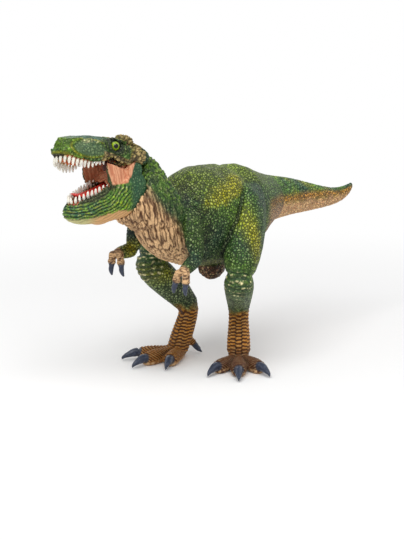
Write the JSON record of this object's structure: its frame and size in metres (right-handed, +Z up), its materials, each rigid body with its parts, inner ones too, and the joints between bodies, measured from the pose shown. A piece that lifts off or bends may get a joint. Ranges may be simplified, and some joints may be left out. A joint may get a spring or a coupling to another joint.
{
  "type": "toy dinosaur figure",
  "caption": "Standing two-legged predatory dinosaur toy figure with open mouth, tail held out and a lower jaw that opens and shuts on a cross pin.",
  "frame": {"origin": "on the floor under the middle of the figure's box", "axes": "+Z up, -Y to the front where the feet and the head point, +X to the figure's left"},
  "size_m": [0.0904, 0.2682, 0.1394],
  "materials": {
    "hide": "satin soft plastic, hand-painted green and tan over moulded scales",
    "mouth": "pink and orange mouth lining with ivory teeth",
    "tongue": "red, semi-gloss",
    "eye": "glossy painted bead, yellow-green with a black pupil",
    "pin": "plain steel"
  },
  "bodies": {
    "figure": {"torso": "hide", "tail": "hide", "neck": "hide", "head": "hide", "upper_mouth": "mouth", "left_eye": "eye", "right_eye": "eye", "jaw_pin": "pin", "left_leg": "hide", "right_leg": "hide", "left_arm": "hide", "right_arm": "hide"},
    "jaw": {"lower_jaw": "hide", "lower_mouth": "mouth", "tongue": "tongue"}
  },
  "joints": [
    {"name": "jaw_hinge", "type": "hinge", "parent": "figure", "child": "jaw", "pos_m": [-0.01092, -0.09219, 0.12], "axis": [-0.9781, 0.2079, 0], "range_deg": [0, 22]}
  ]
}
